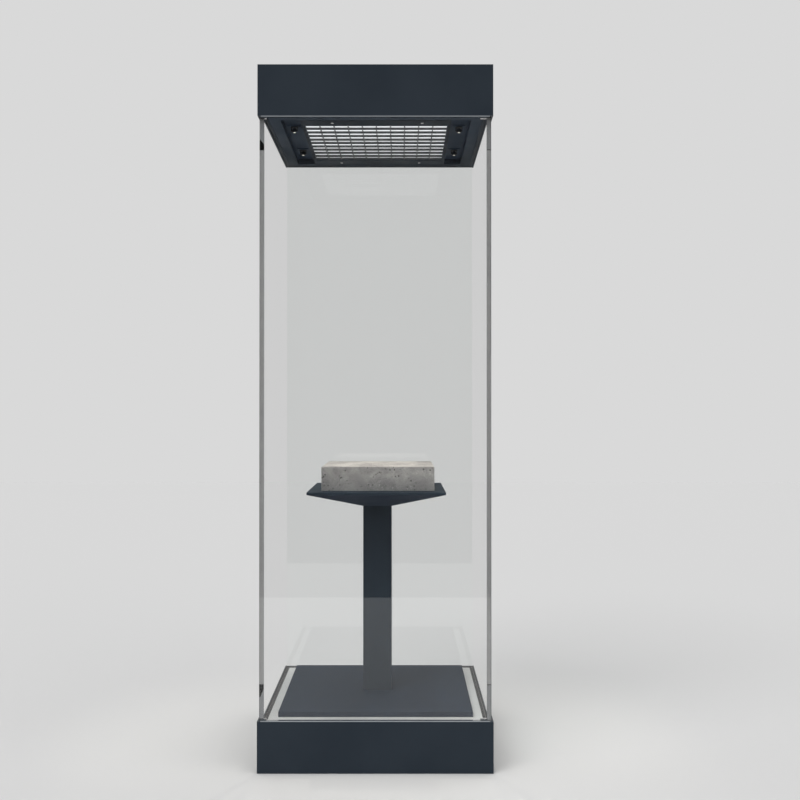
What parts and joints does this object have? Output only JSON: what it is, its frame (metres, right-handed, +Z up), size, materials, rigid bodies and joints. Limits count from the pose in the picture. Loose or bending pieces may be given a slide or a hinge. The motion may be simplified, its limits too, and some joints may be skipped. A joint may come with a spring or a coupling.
{
  "type": "pedestal display case",
  "caption": "Full-height glass showcase: steel plinth and canopy, hinged front pane with rack-bolt locks, pedestal table with stone riser, louvred light panel and adjustable spotlights.",
  "frame": {"origin": "on the floor, under the middle of the case", "axes": "+Z up, -Y out of the front (the door side), +X to the right seen from the front"},
  "size_m": [0.7, 0.7, 2.1],
  "materials": {
    "slate_paint": "satin powder coat, dark slate",
    "inner_slate_paint": "satin powder coat, dark slate",
    "anodised_channel": "dark anodised",
    "clear_glass": "clear laminated, ground edges",
    "satin_aluminium": "satin",
    "stainless_steel": "turned and milled",
    "nylon": "moulded",
    "gasket_grey": "matt, mid grey",
    "liner_paint": "matt light grey",
    "deck_paint": "matt grey laminate",
    "post_paint": "satin powder coat, dark slate",
    "stone": "honed grey limestone, mottled",
    "louvre_black": "matt moulded",
    "opal_diffuser": "opal",
    "white_steel": "matt white",
    "driver_case": "matt grey",
    "spot_black": "satin black",
    "spot_lens": "clear moulded",
    "lock_chrome": "satin chrome"
  },
  "bodies": {
    "root": {"plinth_shell": "slate_paint", "canopy_shell": "slate_paint", "canopy_lid": "slate_paint", "plinth_channel_left": "anodised_channel", "plinth_channel_right": "anodised_channel", "plinth_channel_back": "anodised_channel", "canopy_channel_left": "anodised_channel", "canopy_channel_right": "anodised_channel", "canopy_channel_back": "anodised_channel", "pane_left": "clear_glass", "pane_right": "clear_glass", "pane_back": "clear_glass", "gasket_hinge_side": "gasket_grey", "gasket_latch_side": "gasket_grey", "pivot_pin_plinth": "stainless_steel", "pivot_pin_canopy": "stainless_steel", "thrust_washer": "nylon", "lock_case_plinth": "stainless_steel", "lock_case_canopy": "stainless_steel", "base_pan": "inner_slate_paint", "floor_liner": "liner_paint", "deck_board": "deck_paint", "support_post": "post_paint", "table_cone": "post_paint", "table_top": "post_paint", "riser_block": "stone", "light_tray": "inner_slate_paint", "light_panel": "inner_slate_paint", "louvre_grid": "louvre_black", "diffuser": "opal_diffuser", "light_box": "white_steel", "led_board": "white_steel", "led_driver": "driver_case"},
    "door": {"door_pane": "clear_glass", "pivot_shoe_plinth": "satin_aluminium", "pivot_shoe_canopy": "satin_aluminium", "strike_shoe_plinth": "satin_aluminium", "strike_shoe_canopy": "satin_aluminium"},
    "plug_plinth": {"lock_plug_plinth": "lock_chrome"},
    "bolt_plinth": {"lock_bolt_plinth": "stainless_steel"},
    "plug_canopy": {"lock_plug_canopy": "lock_chrome"},
    "bolt_canopy": {"lock_bolt_canopy": "stainless_steel"},
    "foot_front_left": {"levelling_foot_front_left": "stainless_steel"},
    "foot_front_right": {"levelling_foot_front_right": "stainless_steel"},
    "foot_back_left": {"levelling_foot_back_left": "stainless_steel"},
    "foot_back_right": {"levelling_foot_back_right": "stainless_steel"},
    "yoke_front_left": {"spot_yoke_front_left": "spot_black"},
    "yoke_front_right": {"spot_yoke_front_right": "spot_black"},
    "yoke_back_left": {"spot_yoke_back_left": "spot_black"},
    "yoke_back_right": {"spot_yoke_back_right": "spot_black"},
    "head_front_left": {"spot_head_front_left": "spot_black", "spot_lens_front_left": "spot_lens"},
    "head_front_right": {"spot_head_front_right": "spot_black", "spot_lens_front_right": "spot_lens"},
    "head_back_left": {"spot_head_back_left": "spot_black", "spot_lens_back_left": "spot_lens"},
    "head_back_right": {"spot_head_back_right": "spot_black", "spot_lens_back_right": "spot_lens"}
  },
  "joints": [
    {"name": "door_swing", "type": "hinge", "parent": "root", "child": "door", "pos_m": [-0.339, -0.339, 1.0505], "axis": [0, 0, -1], "range_deg": [0, 110]},
    {"name": "key_plinth", "type": "hinge", "parent": "root", "child": "plug_plinth", "pos_m": [0.35, -0.33115, 0.1154], "axis": [-1, 0, 0], "range_deg": [0, 90]},
    {"name": "bolt_throw_plinth", "type": "slide", "parent": "root", "child": "bolt_plinth", "axis": [0, 0, 1], "range_m": [0, 0.0063]},
    {"name": "key_canopy", "type": "hinge", "parent": "root", "child": "plug_canopy", "pos_m": [0.35, -0.33115, 1.9856], "axis": [1, 0, 0], "range_deg": [0, 90]},
    {"name": "bolt_throw_canopy", "type": "slide", "parent": "root", "child": "bolt_canopy", "axis": [0, 0, -1], "range_m": [0, 0.0063]},
    {"name": "foot_wind_front_left", "type": "slide", "parent": "root", "child": "foot_front_left", "axis": [0, 0, -1], "range_m": [0, 0.015]},
    {"name": "foot_wind_front_right", "type": "slide", "parent": "root", "child": "foot_front_right", "axis": [0, 0, -1], "range_m": [0, 0.015]},
    {"name": "foot_wind_back_left", "type": "slide", "parent": "root", "child": "foot_back_left", "axis": [0, 0, -1], "range_m": [0, 0.015]},
    {"name": "foot_wind_back_right", "type": "slide", "parent": "root", "child": "foot_back_right", "axis": [0, 0, -1], "range_m": [0, 0.015]},
    {"name": "spot_pan_front_left", "type": "hinge", "parent": "root", "child": "yoke_front_left", "pos_m": [-0.2585, -0.152, 1.963], "axis": [0, 0, 1], "range_deg": [-170, 170]},
    {"name": "spot_pan_front_right", "type": "hinge", "parent": "root", "child": "yoke_front_right", "pos_m": [0.2585, -0.152, 1.963], "axis": [0, 0, 1], "range_deg": [-170, 170]},
    {"name": "spot_pan_back_left", "type": "hinge", "parent": "root", "child": "yoke_back_left", "pos_m": [-0.2585, 0.152, 1.963], "axis": [0, 0, 1], "range_deg": [-170, 170]},
    {"name": "spot_pan_back_right", "type": "hinge", "parent": "root", "child": "yoke_back_right", "pos_m": [0.2585, 0.152, 1.963], "axis": [0, 0, 1], "range_deg": [-170, 170]},
    {"name": "spot_tilt_front_left", "type": "hinge", "parent": "yoke_front_left", "child": "head_front_left", "pos_m": [-0.2585, -0.152, 1.953], "axis": [1, 0, 0], "range_deg": [-35, 35]},
    {"name": "spot_tilt_front_right", "type": "hinge", "parent": "yoke_front_right", "child": "head_front_right", "pos_m": [0.2585, -0.152, 1.953], "axis": [1, 0, 0], "range_deg": [-35, 35]},
    {"name": "spot_tilt_back_left", "type": "hinge", "parent": "yoke_back_left", "child": "head_back_left", "pos_m": [-0.2585, 0.152, 1.953], "axis": [1, 0, 0], "range_deg": [-35, 35]},
    {"name": "spot_tilt_back_right", "type": "hinge", "parent": "yoke_back_right", "child": "head_back_right", "pos_m": [0.2585, 0.152, 1.953], "axis": [1, 0, 0], "range_deg": [-35, 35]}
  ],
  "couplings": [
    {"joint": "bolt_throw_plinth", "follows": "key_plinth", "m_per_rad": 0.004},
    {"joint": "bolt_throw_canopy", "follows": "key_canopy", "m_per_rad": 0.004}
  ]
}
